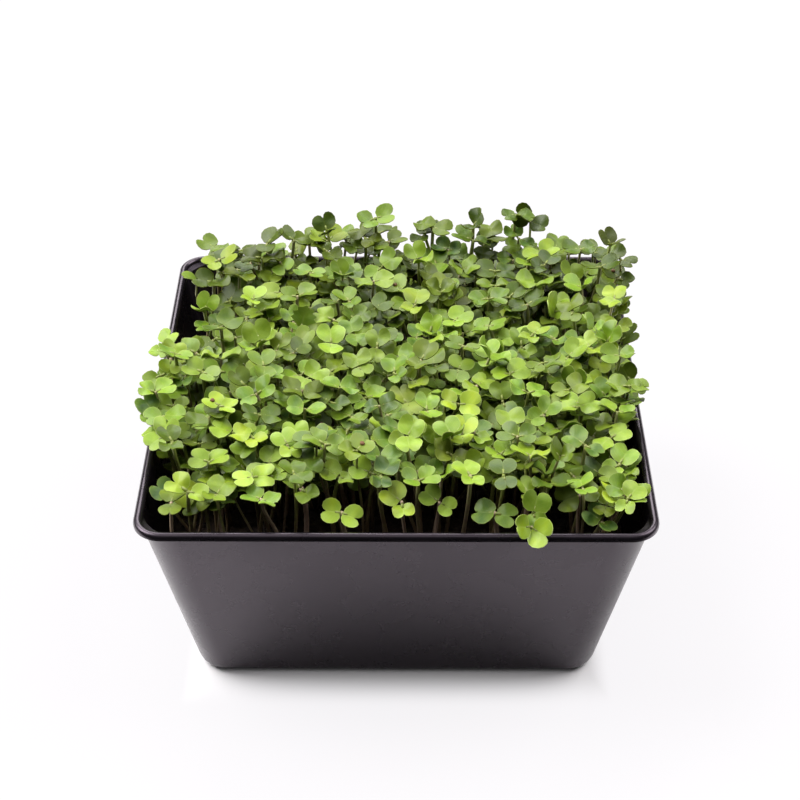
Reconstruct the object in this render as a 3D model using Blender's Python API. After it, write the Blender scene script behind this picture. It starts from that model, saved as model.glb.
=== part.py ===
"""Microgreens tray: a tapered square pot of black plastic, its soil, and the
seedlings that grow in it in clumps.

Metres, +Z up. The origin is the middle of the tray's flat base, and the tray's
front, where a sprig hangs over the rim, faces -Y.
"""

import math
import random

import bmesh
import bpy
from mathutils import Matrix, Vector
from mathutils.bvhtree import BVHTree

# The tray
RIM_WIDTH = 0.180
TRAY_HEIGHT = 0.0805
BASE_WIDTH = 0.1462
WALL = 0.0018
FLOOR = 0.0020
RIM_BAND = 0.0031
RIM_DROP = 0.0026
RIM_OVERHANG = 0.0010
RIM_ROUND = 0.0012
RIM_CORNER = 0.0103
WALL_CORNER_TOP = 0.0155
WALL_CORNER_BASE = 0.0110
BASE_FILLET = 0.0040
FLOOR_FILLET = 0.0030
CORNER_STEPS = 5
ROUND_STEPS = 2
WALL_TOP = TRAY_HEIGHT - RIM_DROP

# The soil, and the clumps of roots that stand in its holes
GAP = 0.0003
SOIL_TOP = 0.0520
CLUMPS_A_SIDE = 6
CLUMP_PITCH = 0.0265
ROOT_RADIUS = 0.0080
ROOT_DEPTH = 0.0120
ROOT_SIDES = 6
STEM_FOOT = 0.0035
STEM_SINK = 0.0030

# The canopy, where the leaves of each clump spread over a cell of their own
CELL_WIDTH = 0.0290
CELL_DEPTH = 0.0268
CANOPY_MIDDLE_Y = -0.0060
CANOPY_HEIGHT = 0.0930
RISE_AT_BACK = 0.0030
DROP_AT_FRONT = 0.0140
BACK_LEFT_SHIFT = 0.0080
PLACES_IN_CELL = ((-0.28, -0.29), (0.28, -0.27), (0.0, 0.0), (-0.28, 0.27), (0.28, 0.29))
PLACE_JITTER = 0.0030
LAYER_STEP = 0.0034
LAYER_JITTER = 0.0020

# One seedling: two notched blades on a three-sided stem
STEM_SIDES = 3
STEM_RADIUS = 0.0009
BLADE_THICKNESS = 0.0007
NECK = (0.0018, 0.0011)
LOBE = (0.0050, 0.0075)
TIP = (0.0110, 0.0058)
NOTCH_REACH = 0.0090
SIZES = (0.90, 1.10)
FOLDS = (0.0, 0.30)
LIFTS = (-0.10, 0.45)
FRONT_LEAN = math.radians(10)
MOST_TILT = math.radians(26)

# Seedlings that stand out from the canopy: x, y and z of the leaves in metres,
# then their turn and their lean to the front in degrees
STRAYS = (
    (-0.009, 0.072, 0.109, 20, 5),
    (-0.028, 0.066, 0.106, 110, 10),
    (0.014, 0.071, 0.105, 150, 0),
    (0.030, 0.069, 0.107, 50, 10),
    (0.047, 0.073, 0.110, 5, 0),
    (-0.052, 0.062, 0.103, 70, 5),
    (-0.070, 0.050, 0.103, 30, 10),
    (0.083, 0.052, 0.109, 125, 5),
    (-0.087, -0.027, 0.095, 15, 5),
    (-0.082, -0.050, 0.092, 60, 15),
    (0.084, -0.024, 0.096, 165, 5),
    (0.046, -0.088, 0.0895, 85, 36),
    (0.079, -0.077, 0.087, 75, 25),
)
STRAY_TILT = math.radians(12)

# The seeded draws, and how far apart seedlings of different clumps stay
SEED = 20
TRIES = 120
CAREFUL_TRIES = 90
CLEARANCE = 0.0004
LONGEST_REACH = 0.070

# Each material's colour and roughness
LOOKS = {
    "tray": ((0.012, 0.011, 0.013, 1.0), 0.35),
    "soil": ((0.030, 0.020, 0.014, 1.0), 0.95),
    "seedlings": ((0.180, 0.330, 0.060, 1.0), 0.55),
}


def clear_scene():
    for old in list(bpy.data.objects):
        bpy.data.objects.remove(old, do_unlink=True)


def new_collection(name):
    group = bpy.data.collections.new(name)
    bpy.context.scene.collection.children.link(group)
    return group


def new_material(name):
    colour, roughness = LOOKS[name]
    material = bpy.data.materials.new(name)
    material.use_nodes = True
    shader = material.node_tree.nodes["Principled BSDF"]
    shader.inputs["Base Color"].default_value = colour
    shader.inputs["Roughness"].default_value = roughness
    shader.inputs["Metallic"].default_value = 0.0
    return material


def new_object(name, solid, group, material=None):
    mesh = bpy.data.meshes.new(name)
    solid.to_mesh(mesh)
    solid.free()
    if material:
        mesh.materials.append(material)
    obj = bpy.data.objects.new(name, mesh)
    group.objects.link(obj)
    return obj


def combine(obj, group, operation):
    """Cut the group's solids from obj or join them to it, then remove them."""
    modifier = obj.modifiers.new("Combine", "BOOLEAN")
    modifier.operation = operation
    modifier.operand_type = "COLLECTION"
    modifier.collection = group
    bpy.context.view_layer.objects.active = obj
    bpy.ops.object.modifier_apply(modifier=modifier.name)
    for used in list(group.objects):
        bpy.data.objects.remove(used, do_unlink=True)


def wall_half(z):
    """Half the tray's width at a height, on the outside of its sloping wall."""
    top_half = RIM_WIDTH / 2 - RIM_OVERHANG
    return BASE_WIDTH / 2 + (top_half - BASE_WIDTH / 2) * z / WALL_TOP


def wall_corner(z):
    return WALL_CORNER_BASE + (WALL_CORNER_TOP - WALL_CORNER_BASE) * z / WALL_TOP


def inside_section(z, inset=0.0):
    """The rounded square inside the wall at a height: half width, corner and z."""
    inset += WALL
    return wall_half(z) - inset, wall_corner(z) - inset, z


def ring(bm, half, corner, z):
    """A square of edges with round corners, at height z."""
    middle = Vector((half - corner, half - corner, z))
    verts = []
    for quarter in range(4):
        turn = Matrix.Rotation(quarter * math.pi / 2, 3, "Z")
        for step in range(CORNER_STEPS + 1):
            angle = step / CORNER_STEPS * math.pi / 2
            point = middle + Vector((math.cos(angle), math.sin(angle), 0)) * corner
            verts.append(bm.verts.new(turn @ point))
    return [bm.edges.new((a, b)) for a, b in zip(verts, verts[1:] + verts[:1])]


def loft(sections):
    """Join rounded squares, each (half width, corner, z), and close both ends."""
    bm = bmesh.new()
    rings = [ring(bm, *section) for section in sections]
    for lower, upper in zip(rings, rings[1:]):
        bmesh.ops.bridge_loops(bm, edges=lower + upper)
    bmesh.ops.contextual_create(bm, geom=rings[0])
    bmesh.ops.contextual_create(bm, geom=rings[-1])
    bmesh.ops.recalc_face_normals(bm, faces=bm.faces)
    return bm


def quarter_round(radius):
    """Steps of a quarter circle as (sideways, up) from its start to its end."""
    for step in range(ROUND_STEPS + 1):
        angle = step / ROUND_STEPS * math.pi / 2
        yield radius * (1 - math.cos(angle)), radius * math.sin(angle)


def tray_sections():
    """The tray's wall from the base up its outside, over the rim and down inside."""
    sections = []
    for rise, inward in quarter_round(BASE_FILLET):
        inset = BASE_FILLET - inward
        sections.append((wall_half(rise) - inset, wall_corner(rise) - inset, rise))
    sections.append((wall_half(WALL_TOP), WALL_CORNER_TOP, WALL_TOP))
    sections.append((RIM_WIDTH / 2, RIM_CORNER, WALL_TOP))
    arc = list(quarter_round(RIM_ROUND))
    over = [(sideways, up) for sideways, up in arc]
    over += [(RIM_BAND - sideways, up) for sideways, up in reversed(arc)]
    for inset, up in over:
        z = TRAY_HEIGHT - RIM_ROUND + up
        sections.append((RIM_WIDTH / 2 - inset, RIM_CORNER - inset, z))
    sections.append(inside_section(WALL_TOP))
    sections.append(inside_section(FLOOR + FLOOR_FILLET))
    sections.append(inside_section(FLOOR, FLOOR_FILLET))
    return sections


def make_tray(group):
    new_object("tray", loft(tray_sections()), group, new_material("tray"))


def clumps():
    """Each clump's column, row and middle on the soil, from the front row back."""
    offset = (CLUMPS_A_SIDE - 1) / 2
    found = []
    for row in range(CLUMPS_A_SIDE):
        for column in range(CLUMPS_A_SIDE):
            middle = Vector((column - offset, row - offset, 0)) * CLUMP_PITCH
            middle.z = SOIL_TOP
            found.append((column, row, middle))
    return found


def root_mat(middle):
    """The mat of roots that joins one clump, its top level with the soil."""
    bm = bmesh.new()
    bmesh.ops.create_cone(
        bm, cap_ends=True, segments=ROOT_SIDES, radius1=ROOT_RADIUS, radius2=ROOT_RADIUS,
        depth=ROOT_DEPTH, matrix=Matrix.Translation(middle - Vector((0, 0, ROOT_DEPTH / 2))))
    return bm


def root_hole(middle):
    """The plain hole for a root mat, which also passes out through the soil's top."""
    radius = ROOT_RADIUS + GAP / math.cos(math.pi / ROOT_SIDES)
    bm = bmesh.new()
    bmesh.ops.create_cone(
        bm, cap_ends=True, segments=ROOT_SIDES, radius1=radius, radius2=radius,
        depth=2 * (ROOT_DEPTH + GAP), matrix=Matrix.Translation(middle))
    return bm


def make_soil(group, cutters):
    levels = ((FLOOR + GAP, FLOOR_FILLET), (FLOOR + FLOOR_FILLET, 0.0), (SOIL_TOP, 0.0))
    sections = [inside_section(z, inset + GAP) for z, inset in levels]
    soil = new_object("soil", loft(sections), group, new_material("soil"))
    for column, row, middle in clumps():
        new_object("hole", root_hole(middle), cutters)
    combine(soil, cutters, "DIFFERENCE")


def stem_solid(plan, grow=0.0):
    """A three-sided stem from the root mat into the neck between the leaves."""
    radius = STEM_RADIUS + grow
    bm = bmesh.new()
    bmesh.ops.create_cone(
        bm, cap_ends=True, segments=STEM_SIDES, radius1=radius, radius2=radius,
        depth=BLADE_THICKNESS)
    joint = plan["place"] @ Matrix.Translation((0, 0, -BLADE_THICKNESS))
    root = Matrix.Translation(plan["foot"]) @ Matrix.Rotation(plan["turn"], 4, "Z")
    for vert in bm.verts:
        end = joint if vert.co.z > 0 else root
        vert.co = end @ vert.co
    return bm


def blade_outline(side, size, fold, lift):
    """The notch first, then the outline from one side of the neck to the other."""
    right = [(reach, -half) for reach, half in (NECK, LOBE, TIP)]
    left = [(reach, half) for reach, half in (TIP, LOBE, NECK)]
    points = []
    for reach, half in [(NOTCH_REACH, 0.0)] + right + left:
        past_neck = max(reach - NECK[0], 0.0)
        off_rib = max(abs(half) - NECK[1], 0.0)
        rise = lift * past_neck + fold * off_rib
        points.append(Vector((side * reach, side * half, rise)) * size)
    return points


def leaf_pair(plan, grow=0.0):
    """Two notched blades joined at the neck, with the same triangles on both faces."""
    size = plan["size"] * (1 + grow / LOBE[1])
    bm = bmesh.new()
    necks = []
    for side, lift in zip((1, -1), plan["lifts"]):
        outline = blade_outline(side, size, plan["fold"], lift)
        notch, *edge = [bm.verts.new(point) for point in outline]
        for half in (edge[:3], edge[3:]):
            for here, there in zip(half, half[1:]):
                bm.faces.new((notch, here, there))
        bm.faces.new((notch, edge[-1], edge[0]))
        necks += [edge[0], edge[-1]]
    bm.faces.new(necks[:3])
    bm.faces.new((necks[0], necks[2], necks[3]))
    bm.normal_update()
    bmesh.ops.solidify(bm, geom=bm.faces[:], thickness=BLADE_THICKNESS + 2 * grow)
    raised = plan["place"] @ Matrix.Translation((0, 0, grow))
    bmesh.ops.transform(bm, matrix=raised, verts=bm.verts)
    return bm


def canopy_height(y):
    """The leaves' mean height: lower along the front, a little higher at the back."""
    share = y / (CLUMPS_A_SIDE / 2 * CELL_DEPTH)
    if share < 0:
        return CANOPY_HEIGHT - DROP_AT_FRONT * share * share
    return CANOPY_HEIGHT + RISE_AT_BACK * share


def cell_middle(column, row):
    offset = (CLUMPS_A_SIDE - 1) / 2
    x = (column - offset) * CELL_WIDTH
    y = (row - offset) * CELL_DEPTH + CANOPY_MIDDLE_Y
    if column == 0 and row > offset:
        x += BACK_LEFT_SHIFT
    return Vector((x, y, 0))


def draw_plan(chance, clump, top, turn, lean, most_tilt):
    """One seedling from its foot in the root mat to the neck of its leaves at top."""
    column, row, middle = clump
    outward = Vector((top.x - middle.x, top.y - middle.y, 0))
    foot = middle + outward * (STEM_FOOT / max(outward.length, STEM_FOOT))
    foot.z -= STEM_SINK
    way = chance.uniform(0, 2 * math.pi)
    tilt_axis = Vector((math.cos(way), math.sin(way), 0))
    place = Matrix.Translation(top) @ Matrix.Rotation(lean, 4, "X")
    place = place @ Matrix.Rotation(chance.uniform(0, most_tilt), 4, tilt_axis)
    place = place @ Matrix.Rotation(turn, 4, "Z")
    return {
        "clump": clump,
        "foot": foot,
        "top": top,
        "turn": turn,
        "place": place,
        "size": chance.uniform(*SIZES),
        "fold": chance.uniform(*FOLDS),
        "lifts": (chance.uniform(*LIFTS), chance.uniform(*LIFTS)),
    }


def draw_in_cell(chance, clump, spot, level):
    """A seedling whose leaves lie near a place in its clump's cell, at a level."""
    column, row, middle = clump
    across, along = spot
    top = cell_middle(column, row)
    top.x += across * CELL_WIDTH + chance.uniform(-PLACE_JITTER, PLACE_JITTER)
    top.y += along * CELL_DEPTH + chance.uniform(-PLACE_JITTER, PLACE_JITTER)
    top.z = canopy_height(top.y) + level * LAYER_STEP
    top.z += chance.uniform(-LAYER_JITTER, LAYER_JITTER)
    return draw_plan(chance, clump, top, chance.uniform(0, math.pi), FRONT_LEAN, MOST_TILT)


def search_trees(plan, grow=0.0):
    """The surfaces of a seedling's leaves and stem, grown by a clearance."""
    trees = []
    for solid in (leaf_pair(plan, grow), stem_solid(plan, grow)):
        trees.append(BVHTree.FromBMesh(solid))
        solid.free()
    return trees


def meet(some, others):
    return any(mine.overlap(other) for mine in some for other in others)


def is_clear(plan, placed, tray_tree, mind_own_clump):
    guard = search_trees(plan, CLEARANCE)
    if meet(guard, [tray_tree]):
        return False
    for other in placed:
        if (other["top"] - plan["top"]).length > LONGEST_REACH:
            continue
        if other["clump"] == plan["clump"] and not mind_own_clump:
            continue
        if meet(guard, other["trees"]):
            return False
    return True


def settle(placed, tray_tree, draw):
    """Keep the first draw that stands clear; the last ones may cross their own clump."""
    for attempt in range(TRIES):
        plan = draw()
        if is_clear(plan, placed, tray_tree, attempt < CAREFUL_TRIES):
            plan["trees"] = search_trees(plan)
            placed.append(plan)
            return


def plan_seedlings():
    """Every seedling of the stand, by seeded draws, from the strays and the top down."""
    chance = random.Random(SEED)
    tray = loft(tray_sections())
    tray_tree = BVHTree.FromBMesh(tray)
    tray.free()
    stand = clumps()
    placed = []
    for x, y, z, turn, lean in STRAYS:
        top = Vector((x, y, z))
        nearest = min(stand, key=lambda clump: (cell_middle(*clump[:2]) - Vector((x, y, 0))).length)
        settle(placed, tray_tree, lambda: draw_plan(
            chance, nearest, top, math.radians(turn), math.radians(lean), STRAY_TILT))
    orders = [chance.sample(PLACES_IN_CELL, len(PLACES_IN_CELL)) for clump in stand]
    for layer in range(len(PLACES_IN_CELL)):
        level = (len(PLACES_IN_CELL) - 1) / 2 - layer
        for clump, order in zip(stand, orders):
            settle(placed, tray_tree, lambda: draw_in_cell(chance, clump, order[layer], level))
    return placed


def make_seedlings(group, shoots):
    material = new_material("seedlings")
    plans = plan_seedlings()
    for number, clump in enumerate(clumps(), 1):
        column, row, middle = clump
        obj = new_object(f"seedlings_{number:02d}", root_mat(middle), group, material)
        for plan in plans:
            if plan["clump"] == clump:
                new_object("leaves", leaf_pair(plan), shoots)
                new_object("stem", stem_solid(plan), shoots)
        combine(obj, shoots, "UNION")


def main():
    clear_scene()
    parts = new_collection("microgreens_tray")
    cutters = new_collection("cutters")
    make_tray(parts)
    make_soil(parts, cutters)
    make_seedlings(parts, cutters)


if __name__ == "__main__":
    main()
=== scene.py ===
"""Microgreens tray: a black plastic tray, its potting mix and a stand of seedlings.

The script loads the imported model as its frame, makes the tray, the potting mix and
the seedlings in place of the plain solids, and sets up a pale studio around them.
Metres, +Z up, the tray's front towards -Y.
"""

import math
import random
from functools import partial

import bmesh
import bpy
import numpy as np
from bpy.props import FloatProperty, FloatVectorProperty, IntProperty, PointerProperty
from mathutils import Matrix, Vector, noise
from mathutils.bvhtree import BVHTree


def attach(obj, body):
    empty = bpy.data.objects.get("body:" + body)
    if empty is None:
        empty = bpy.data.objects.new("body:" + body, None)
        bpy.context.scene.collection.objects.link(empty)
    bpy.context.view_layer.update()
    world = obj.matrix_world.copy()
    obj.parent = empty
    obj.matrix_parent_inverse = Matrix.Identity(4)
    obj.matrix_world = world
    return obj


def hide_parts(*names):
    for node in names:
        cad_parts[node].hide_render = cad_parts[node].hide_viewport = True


bl_info = {
    "name": "Microgreens Tray",
    "version": (1, 0, 0),
    "blender": (4, 5, 0),
    "location": "3D View > Sidebar > Microgreens",
    "description": "Makes a black tray of brassica seedlings, its potting mix and a pale studio",
    "category": "Add Mesh",
}

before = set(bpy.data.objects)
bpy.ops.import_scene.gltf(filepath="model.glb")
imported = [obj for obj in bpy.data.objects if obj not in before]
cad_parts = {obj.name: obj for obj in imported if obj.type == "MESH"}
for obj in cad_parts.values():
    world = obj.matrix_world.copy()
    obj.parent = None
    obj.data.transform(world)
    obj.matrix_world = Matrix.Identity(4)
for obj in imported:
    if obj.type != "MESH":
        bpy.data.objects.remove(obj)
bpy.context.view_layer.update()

# The tray, as in the part's source
RIM_WIDTH = 0.180
TRAY_HEIGHT = 0.0805
BASE_WIDTH = 0.1462
WALL = 0.0018
FLOOR = 0.0020
RIM_BAND = 0.0031
RIM_DROP = 0.0026
RIM_OVERHANG = 0.0010
RIM_ROUND = 0.0012
RIM_CORNER = 0.0103
WALL_CORNER_TOP = 0.0155
WALL_CORNER_BASE = 0.0110
BASE_FILLET = 0.0040
FLOOR_FILLET = 0.0030
CORNER_STEPS = 5
ROUND_STEPS = 2
WALL_TOP = TRAY_HEIGHT - RIM_DROP

# The finer tray and its plastic
BEAD_STEPS = 6
TRAY_EDGE_ANGLE = math.radians(32)
PLASTIC_MOTTLE = (0.85, 1.25)
PLASTIC_SHINE = (-0.03, 0.04)
PLASTIC_TINT = (1.0, 0.83, 1.0, 1.0)

# The soil and the clumps of roots, as in the part's source
GAP = 0.0003
SOIL_TOP = 0.0520
CLUMPS_A_SIDE = 6
CLUMP_PITCH = 0.0265
STEM_FOOT = 0.0035
STEM_SINK = 0.0030

# The finer potting mix
SOIL_GRID = 72
LUMPS_A_METRE = 70
LUMPS_SLICE = 0.3
CRUMBS_A_METRE = 330
CRUMBS_SLICE = 1.7
CRUMB_RELIEF = 0.6
RELIEF_SINK = 0.7
CRUMB_SEED = 3
CRUMBS_TO_WALL = 0.0030
CRUMB_STRETCH = (0.6, 1.35)
CRUMB_SIZES = (0.5, 1.5)
PALE_PEAT = 3.2
CLOD_EDGE = (0.45, 0.75)
CHAFF_EDGE = (0.72, 0.80)
CHAFF = (0.22, 0.15, 0.085, 1.0)

# The canopy and the source's seedlings, as in the part's source
CELL_WIDTH = 0.0290
CELL_DEPTH = 0.0268
CANOPY_MIDDLE_Y = -0.0060
CANOPY_HEIGHT = 0.0930
RISE_AT_BACK = 0.0030
DROP_AT_FRONT = 0.0140
BACK_LEFT_SHIFT = 0.0080
PLACES_IN_CELL = ((-0.28, -0.29), (0.28, -0.27), (0.0, 0.0), (-0.28, 0.27), (0.28, 0.29))
PLACE_JITTER = 0.0030
LAYER_STEP = 0.0034
LAYER_JITTER = 0.0020
STEM_SIDES = 3
STEM_RADIUS = 0.0009
BLADE_THICKNESS = 0.0007
NECK = (0.0018, 0.0011)
LOBE = (0.0050, 0.0075)
TIP = (0.0110, 0.0058)
NOTCH_REACH = 0.0090
SIZES = (0.90, 1.10)
FOLDS = (0.0, 0.30)
LIFTS = (-0.10, 0.45)
FRONT_LEAN = math.radians(10)
MOST_TILT = math.radians(26)

# Strays: the place of the pair of leaves, its turn and its lean in degrees
STRAYS = (
    (-0.009, 0.072, 0.109, 20, 5),
    (-0.028, 0.066, 0.106, 110, 10),
    (0.014, 0.071, 0.105, 150, 0),
    (0.030, 0.069, 0.107, 50, 10),
    (0.047, 0.073, 0.110, 5, 0),
    (-0.052, 0.062, 0.103, 70, 5),
    (-0.070, 0.050, 0.103, 30, 10),
    (0.083, 0.052, 0.109, 125, 5),
    (-0.087, -0.027, 0.095, 15, 5),
    (-0.082, -0.050, 0.092, 60, 15),
    (0.084, -0.024, 0.096, 165, 5),
    (0.046, -0.088, 0.0895, 85, 36),
    (0.079, -0.077, 0.087, 75, 25),
)
STRAY_TILT = math.radians(12)
SEED = 20
TRIES = 120
CAREFUL_TRIES = 90
CLEARANCE = 0.0004
LONGEST_REACH = 0.070

# The finer stems and leaf stalks, and the tubes that stand for stems in a search
FEET_SPREAD = 0.0085
FOOT_JITTER = 0.0045
FOOT_TO_WALL = 0.0040
STEM_WAIST = 0.45
STEM_NECK = 0.32
STEM_SWAY = 0.0060
STEM_GIRTHS = (0.80, 1.30)
STEM_FLARE = 1.15
STEM_STACKS = 6
STEM_RING = 6
SEARCH_RING = 3
PETIOLE_STACKS = 2
PETIOLE_RING = 5
PETIOLE_LENGTHS = (0.0002, 0.0012)
PETIOLE_WIDTH = 0.00045
PETIOLE_FOOT = 0.92
PETIOLE_BEND = 0.6
PETIOLE_RIPENESS = 0.85
PETIOLE_UNDER_BLADE = 0.0016
PETIOLE_UNDER_TOP = 0.0006
PATH_STEP = 0.02
PATH_SIDE = Vector((0.37, -0.93, 0.0))

# How leaves vary: ranges, or a mean and a spread
BLADE_YAWS = (-0.42, 0.42)
BLADE_ROLLS = (-0.28, 0.28)
BLADE_CURLS = (-0.45, 0.42)
BLADE_RIPPLES = (0.01, 0.10)
BLADE_TINTS = (0, 0.06)
FIRST_BLADES = (0.98, 1.10)
SECOND_BLADES = (0.82, 1.0)
EXTRA_FOLDS = (0, 0.22)
CLOSED_SHARE = 0.07
CLOSED_LIFTS = (0.5, 1.0)
HUES = (0.50, 0.20)
SHADES = (0.26, 0.95)
BLUSHES = (-0.40, 0.28)
MOST_BLUSH = 0.6
PALLORS = (0.10, 0.22)
TOOTHED_SHARE = 0.012
TOOTHED_GROWTH = 1.25
TOOTHED_LIFT = 0.5
TOOTHED_HUE = 0.35
COATED_SHARE = 0.018
COAT_SIZE = (0.0011, 0.0009, 0.0005)
COAT_SEAT = 0.6
COAT_SPLIT = 0.5

# Painted shade: leaves are darker toward the back of the stand and below its top
BACK_SHADING = 0.32
BACK_SHADING_FROM = 0.010
BACK_SHADING_OVER = 0.050
DEPTH_SHADING = 0.34
SHADED_DEPTH = 0.019

# The canopy's outline: open at the front's corners, along its rim and at the back left
CANOPY_LEFT = -0.0880
CANOPY_RIGHT = 0.0870
CANOPY_FRONT = -0.0790
CANOPY_BACK = 0.0740
BACK_LEFT_OPENING = 0.018
BACK_LEFT_OVER = 0.03
FRONT_LEFT_OPENING = 0.0170
FRONT_RIGHT_OPENING = 0.0080
FRONT_SIDES_FROM = -0.040
FRONT_SIDES_OVER = 0.015
FRONT_OPENING = 0.0050
CORNERS_FROM = 0.068
CORNERS_OVER = 0.012

# Behind the front rim the leaves stand higher and thinner, and the stems show
FRONT_FROM = -0.048
FRONT_OVER = 0.020
FRONT_SETBACK = 0.0085
FRONT_RISE = 0.0092
FRONT_GROWTH = 0.04
FRONT_THINNING = 0.35
FRONT_SHALLOWING = 0.90

# The seedlings that fill the canopy
FILLER_TRIES = 26
STEM_MINDING_TRIES = 14
FILLER_REACH = 0.034
FILLERS_ACROSS = (-0.088, 0.088)
FILLERS_ALONG = (-0.086, 0.077)
FILLER_DEPTHS = (-0.0190, 0.0052)
FILLER_TILT = math.radians(27)
FILLER_LEAN = math.radians(3)
LEVELLING = 0.5
EDGE_WIDTH = 0.0150
EDGE_DROPS = (0, 0.006)
CANOPY_WAVES = 0.0064
WAVES_A_METRE = 28
WAVES_SLICE = 0.5
BACK_DROP = 0.0040
BACK_DROP_FROM = 0.050
BACK_DROP_OVER = 0.020

# The lower neighbours of the strays at the back
NEIGHBOURS = 2
NEIGHBOURS_ACROSS = (-0.009, 0.009)
NEIGHBOURS_ALONG = (-0.006, 0.002)
NEIGHBOURS_BELOW = (0.004, 0.010)

# The loose row that stands out along the front, from the left corner to the right
FRONT_ROW = 11
FRONT_ROW_REACH = 0.078
FRONT_ROW_Y = -0.0735
FRONT_ROW_JITTER = 0.0045
FRONT_ROW_RISES = (0.0005, 0.0090)
FRONT_ROW_LEANS = (math.radians(8), math.radians(28))
FRONT_ROW_GIRTH = 1.2
# Their stems are paler: partly their own pale colour, partly painted light
FRONT_ROW_PALLORS_AND_LIGHT = (0.5, 1.0)

# The lower pair of leaves on the stray that hangs over the rim
OVERHANGING_STRAY = 11
LOWER_PAIR_STEP = Vector((-0.001, -0.007, -0.0005))
LOWER_PAIR_LEAN = math.radians(50)
LOWER_PAIR_TURN = math.radians(-20)
LOWER_PAIR_TURNS = (-0.2, 0.2)
LOWER_PAIR_GROWTH = 0.95
LOWER_PAIR_HUE = 0.74

# Blade outlines from the notch round one side to the stalk: along and across, as
# shares of the blade's length and width
HEART = ((0.73, 0.00), (0.92, 0.07), (1.00, 0.18), (0.99, 0.32), (0.88, 0.45),
         (0.66, 0.53), (0.40, 0.53), (0.16, 0.44), (0.00, 0.24), (0.00, 0.00))
KIDNEY = ((0.71, 0.00), (0.89, 0.08), (0.97, 0.20), (0.94, 0.36), (0.80, 0.49),
          (0.56, 0.56), (0.30, 0.54), (0.07, 0.44), (-0.06, 0.24), (0.00, 0.00))
ROUND = ((0.86, 0.00), (0.96, 0.08), (1.00, 0.19), (0.97, 0.33), (0.86, 0.45),
         (0.65, 0.52), (0.40, 0.52), (0.16, 0.43), (0.00, 0.23), (0.00, 0.00))
CLEFT = ((0.63, 0.00), (0.88, 0.07), (1.01, 0.18), (1.01, 0.33), (0.89, 0.47),
         (0.66, 0.54), (0.40, 0.53), (0.16, 0.43), (0.00, 0.23), (0.00, 0.00))
TOOTHED = ((1.00, 0.00), (0.90, 0.12), (0.86, 0.28), (0.73, 0.25), (0.66, 0.40),
           (0.52, 0.33), (0.42, 0.42), (0.28, 0.26), (0.08, 0.10), (0.00, 0.00))
OUTLINES = {"heart": HEART, "kidney": KIDNEY, "round": ROUND, "cleft": CLEFT, "toothed": TOOTHED}
SEED_LEAVES = ("heart", "heart", "kidney", "kidney", "kidney", "cleft", "cleft", "round")
BLADE_HEART_ALONG = 0.52
BLADE_EDGE_ANGLE = math.radians(55)
INNER_RING = 0.42
LIFT_AT_STALK = 0.75
FOLD_ROUNDING = 0.08
CURL_START = 0.3
RIPPLES_ROUND = 3
RIPPLE_REACH = 0.25
RIPPLE_LIMIT = 0.3

# The pattern on a blade, in shares of its length and width
RIB_EDGE = (0.010, 0.045)
RIB_FADING = (0.35, 0.80)
RIB_AT_LOBES = 0.15
VEIN_SLANT = 0.85
VEIN_WAVES = 30.0
VEIN_EDGE = (0.86, 1.0)
SIDE_VEINS = 0.35
VEINS_SHOWN = 0.22
# Painted highlights: a pale rim along the blade's edge, and paler lobes
LEAF_RIM_EDGE = (0.93, 1.0)
LEAF_RIM_HIGHLIGHT = 0.42
STALK_END = (0.05, 0.50)
STALK_SHOWN = 0.60
LOBE_END = (0.45, 1.0)
LOBE_HIGHLIGHT_SHOWN = 0.38

# Colours and how they vary: noise mostly lies in its middle range
NOISE_RANGE = (0.3, 0.7)
HUE_MOTTLE = (-0.09, 0.09)
# Painted light and shade on the leaves, from each leaf's shade value, and a painted bluish sheen on
# the lighter ones
PAINTED_LEAF_LIGHT = (0.38, 1.42)
PAINTED_LEAF_SHEEN = (0.04, 1.75)
STEM_STREAKS = (-0.12, 0.12)
STEM_GREENING = (0.25, 0.95)
PLAIN_TINT = (0.5, 0.5, 0.0)
# Pale green of the veins, also used for the painted highlight along the rims
VEIN_AND_RIM_HIGHLIGHT_GREEN = (0.36, 0.43, 0.11, 1.0)
STALK_GREEN = (0.150, 0.230, 0.010, 1.0)
LOBE_HIGHLIGHT_GREEN = (0.225, 0.320, 0.046, 1.0)
LEAF_BLUSH = (0.140, 0.130, 0.030, 1.0)
GREEN_STOPS = (0.38, 0.72)
PALE_AND_LIT_STEM = (0.53, 0.38, 0.29, 1.0)
COAT_BROWN = (0.150, 0.062, 0.020)
COAT_DARK = (0.070, 0.026, 0.010, 1.0)
COAT_PALE = (0.240, 0.110, 0.038, 1.0)

# The studio: each light's side and its spread in degrees, the floor and the camera
LIGHTS = {
    "left_light": ((-0.75, 0.24, 0.95), 38),
    "right_light": ((0.75, 0.27, 0.95), 38),
    "back_light": ((-0.10, 0.90, 0.85), 36),
    "front_light": ((-0.15, -0.30, 1.0), 44),
}
LIGHT_WHITE = (1.0, 0.985, 0.98)
ROOM_WHITE = (1.0, 0.985, 1.0, 1.0)
WASH_WHITE = (0.95, 0.935, 0.955, 1.0)
WASH_SHARE = 0.92
WASH_BESIDE = (-0.003, 0.006)
WASH_AHEAD = (-0.004, 0.018)
CLOUD_DIMMING = 0.985
CAMERA_SIDESTEP = 0.0030
CAMERA_TURN = math.radians(0.20)
SENSOR_WIDTH = 36.0
NEAREST_SEEN = 0.01


class TraySettings(bpy.types.PropertyGroup):
    """The tray's rim, its corners and its plastic."""
    rim_drop: FloatProperty(
        name="Rim drop", description="From the top of the rim to the foot of its skirt",
        default=0.0023, unit="LENGTH", precision=4)
    corner_segments: IntProperty(
        name="Corner segments", description="Faces round each upright corner", default=12, min=3)
    plastic: FloatVectorProperty(
        name="Plastic", description="Colour of the moulded plastic", subtype="COLOR",
        default=(0.0078, 0.0064, 0.0084))
    roughness: FloatProperty(
        name="Roughness", description="How satin the plastic is", default=0.27, min=0, max=1,
        subtype="FACTOR")


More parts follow.
